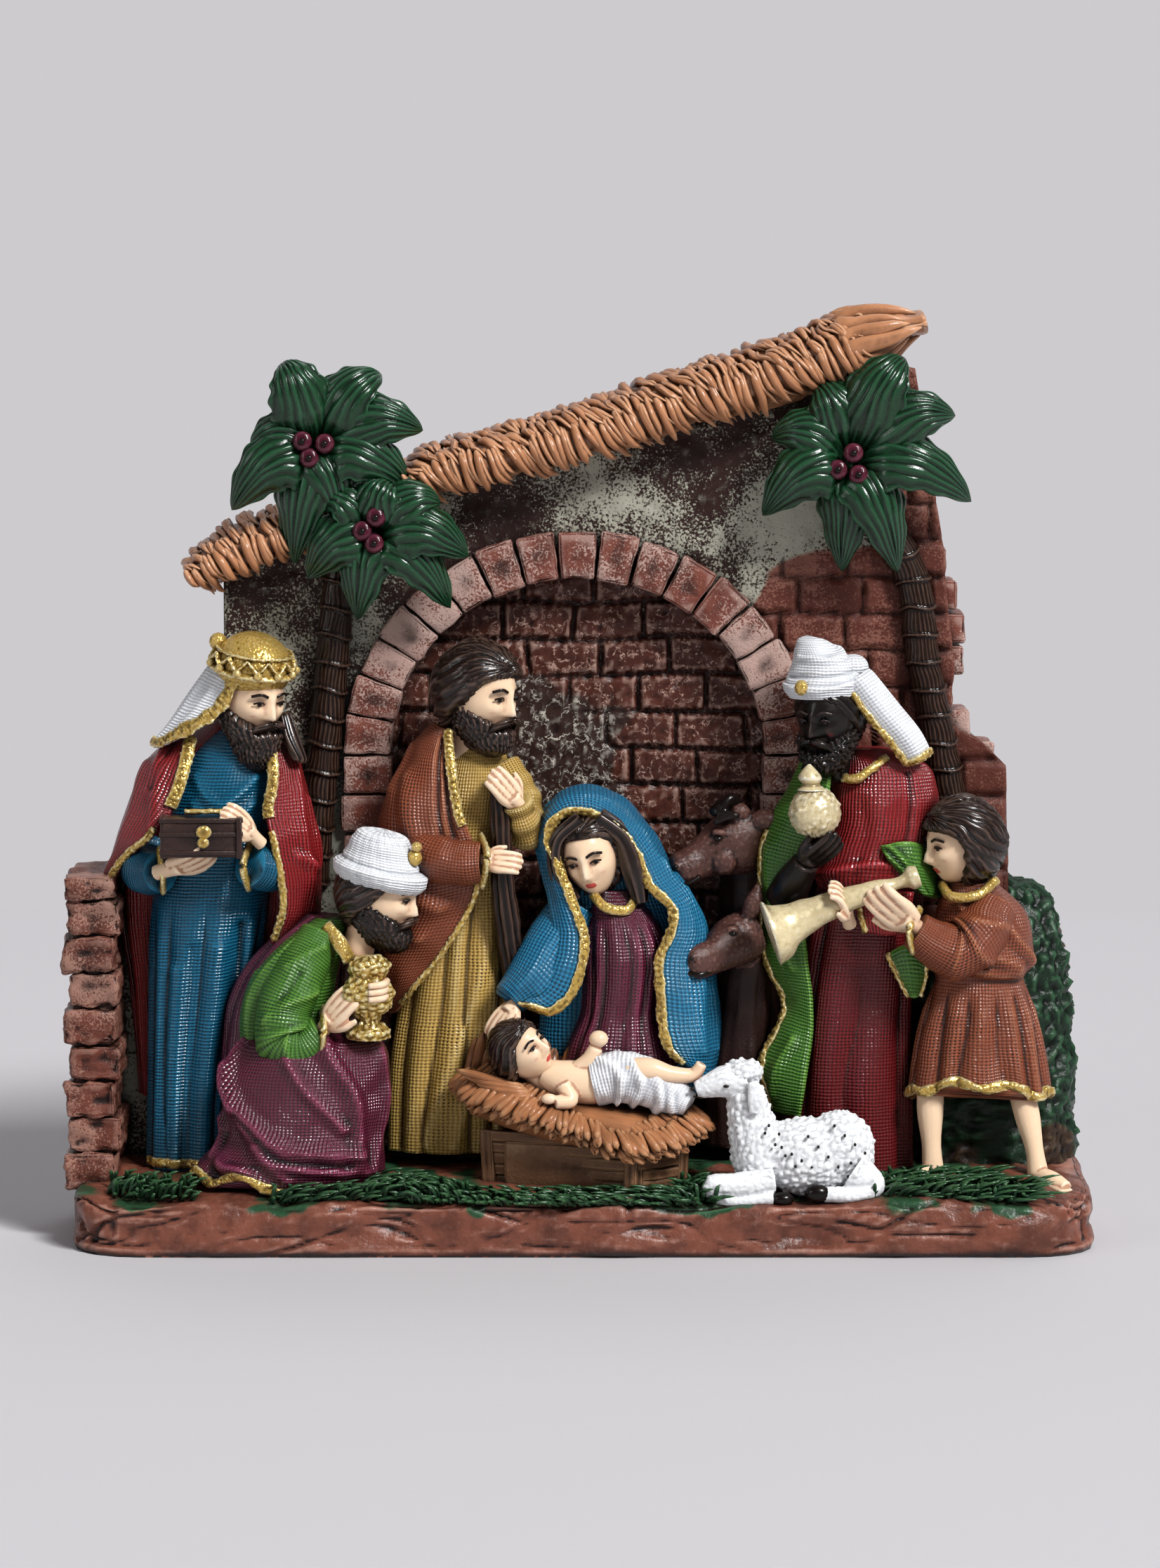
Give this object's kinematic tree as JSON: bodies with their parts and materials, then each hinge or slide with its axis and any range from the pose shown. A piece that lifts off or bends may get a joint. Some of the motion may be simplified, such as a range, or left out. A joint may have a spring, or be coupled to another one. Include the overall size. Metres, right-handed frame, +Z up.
{
  "type": "nativity ornament",
  "caption": "Painted nativity ornament: a ruined arched stable with thatch and palms on a rock base, with the holy family, kings, a shepherd boy and animals in front.",
  "frame": {"origin": "on the table under the middle of the ornament's bounding box", "axes": "+X to the viewer's right along the base, +Y away from the viewer through the wall, +Z up"},
  "size_m": [0.1672, 0.0526, 0.1509],
  "materials": {
    "stone": "matt brown paint, rubbed pale on the high spots",
    "brick": "matt red-brown paint, rubbed pale on the high spots",
    "thatch": "satin tan and orange-brown paint",
    "bark": "satin near-black paint",
    "palm_green": "glossy dark green paint, nuts maroon",
    "moss": "matt dark green paint",
    "blue": "satin blue paint, gold hem",
    "sky_blue": "satin light blue paint, gold edge",
    "red": "satin red paint, gold trims",
    "burgundy": "satin burgundy paint",
    "green": "satin green paint, gold edge",
    "tan": "satin ochre paint",
    "rust": "satin rust-brown paint",
    "skin": "satin skin-coloured paint",
    "dark_skin": "satin near-black paint",
    "white": "matt white paint",
    "gold": "metallic gold paint",
    "dark_hair": "satin dark brown paint",
    "hide": "satin brown paint with fur strokes",
    "straw": "matt straw-coloured paint",
    "plank": "matt wood-brown paint",
    "casket_brown": "satin dark brown paint"
  },
  "bodies": {
    "root": {"base_slab": "stone", "ruin_wall": "stone", "niche_panel": "brick", "arch_ring": "brick", "left_pier": "brick", "mossy_bank": "moss", "thatch_roof": "thatch", "eave_thatch": "thatch", "left_palm_trunk": "bark", "right_palm_trunk": "bark", "low_palm_crown": "palm_green", "high_palm_crown": "palm_green", "right_palm_crown": "palm_green", "child_head": "skin", "child_body": "white", "crib_straw": "straw", "crib_crate": "plank", "lamb": "white", "kneeler_censer": "gold", "kneeler_hand": "skin", "kneeler_head": "skin", "kneeler_cap": "white", "kneeler_tunic": "green", "kneeler_skirt": "burgundy", "shepherd_horn": "gold", "shepherd_right_hand": "skin", "shepherd_left_hand": "skin", "shepherd_head": "skin", "shepherd_hair": "dark_hair", "shepherd_right_leg": "skin", "shepherd_left_leg": "skin", "shepherd_tunic": "rust", "mary_hand": "skin", "mary_head": "skin", "mary_veil": "sky_blue", "mary_dress": "burgundy", "mary_mantle": "sky_blue", "king_casket": "casket_brown", "king_right_hand": "skin", "king_left_hand": "skin", "king_head": "skin", "king_crown": "gold", "king_veil": "white", "king_robe": "blue", "king_cloak": "red", "joseph_near_hand": "skin", "joseph_far_hand": "skin", "joseph_head": "skin", "joseph_staff": "bark", "joseph_hair": "dark_hair", "joseph_mantle": "rust", "joseph_robe": "tan", "magus_jar": "gold", "magus_hand": "dark_skin", "magus_head": "dark_skin", "magus_turban": "white", "magus_robe": "red", "magus_cape": "green", "donkey": "hide", "ox": "hide"}
  },
  "joints": []
}
